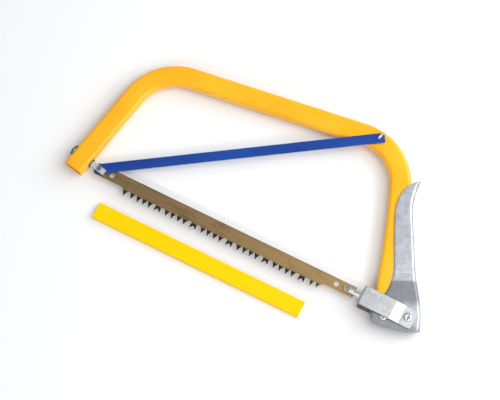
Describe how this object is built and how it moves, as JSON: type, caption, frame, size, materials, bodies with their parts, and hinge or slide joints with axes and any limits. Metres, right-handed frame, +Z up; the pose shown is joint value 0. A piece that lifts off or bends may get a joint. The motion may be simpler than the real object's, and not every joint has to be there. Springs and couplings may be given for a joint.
{
  "type": "bow saw",
  "caption": "Bow saw with a bent tubular frame, coarse bow blade, slanted hacksaw blade, over-centre tension lever and a loose channel guard for the teeth.",
  "frame": {"origin": "centre of the saw's box, at its underside, with the saw lying flat on its side", "axes": "+X along the bow blade from its front pin towards the grip and lever, +Y from the teeth towards the top of the frame, +Z up out of the side that faces the viewer"},
  "size_m": [0.4224, 0.2246, 0.0259],
  "materials": {
    "frame_paint": "glossy orange-yellow enamel",
    "stud_steel": "zinc plated, slightly dull",
    "cap_black": "black, satin",
    "washer_steel": "plain steel",
    "washer_dark": "blackened steel",
    "pin_steel": "turned steel",
    "blade_bronze": "tempered bronze brown, lengthwise grain, dark hardened teeth",
    "blade_blue": "blue enamel, satin",
    "peg_steel": "bright",
    "rivet_steel": "zinc plated",
    "sleeve_steel": "plain steel",
    "lever_zinc": "galvanised sheet, fine grained, satin",
    "strap_zinc": "brushed galvanised sheet",
    "draw_steel": "bright zinc plated",
    "guard_pvc": "smooth lemon-yellow extrusion"
  },
  "bodies": {
    "frame": {"frame_tube": "frame_paint", "front_stud": "stud_steel", "front_stud_cap": "cap_black", "front_outer_washer": "washer_steel", "front_inner_washer": "washer_dark", "bow_blade": "blade_bronze", "hacksaw_blade": "blade_blue", "hacksaw_peg": "peg_steel", "lever_pivot_rivet": "rivet_steel", "lever_pivot_sleeve": "sleeve_steel"},
    "front_pin": {"front_blade_pin": "pin_steel"},
    "lever": {"tension_lever": "lever_zinc", "strap_rivet_spacer": "sleeve_steel"},
    "strap": {"tension_strap": "strap_zinc", "strap_rivet": "rivet_steel"},
    "draw_stud": {"draw_stud": "draw_steel", "draw_stud_nut": "stud_steel", "draw_stud_washer": "washer_steel"},
    "draw_pin": {"draw_blade_pin": "pin_steel"},
    "guard": {"blade_guard": "guard_pvc"}
  },
  "joints": [
    {"name": "lever_open", "type": "hinge", "parent": "frame", "child": "lever", "pos_m": [0.16953, -0.07405, 0.01], "axis": [0, 0, -1], "range_deg": [0, 90]},
    {"name": "strap_swing", "type": "hinge", "parent": "lever", "child": "strap", "pos_m": [0.19314, -0.06405, 0.01], "axis": [0, 0, 1], "range_deg": [0, 60]},
    {"name": "draw_stud_swing", "type": "hinge", "parent": "frame", "child": "draw_stud", "pos_m": [0.12263, -0.06275, 0.01], "axis": [0, 0, -1], "range_deg": [0, 31]},
    {"name": "front_pin_pull", "type": "slide", "parent": "frame", "child": "front_pin", "axis": [0, 0, 1], "range_m": [0, 0.015]},
    {"name": "draw_pin_pull", "type": "slide", "parent": "draw_stud", "child": "draw_pin", "axis": [0, 0, 1], "range_m": [0, 0.015]},
    {"name": "guard_lift", "type": "slide", "parent": "frame", "child": "guard", "axis": [0, 0, 1], "range_m": [0, 0.05]}
  ],
  "couplings": [
    {"joint": "strap_swing", "follows": "lever_open", "ratio": 0.66},
    {"joint": "draw_stud_swing", "follows": "lever_open", "ratio": 0.34}
  ]
}
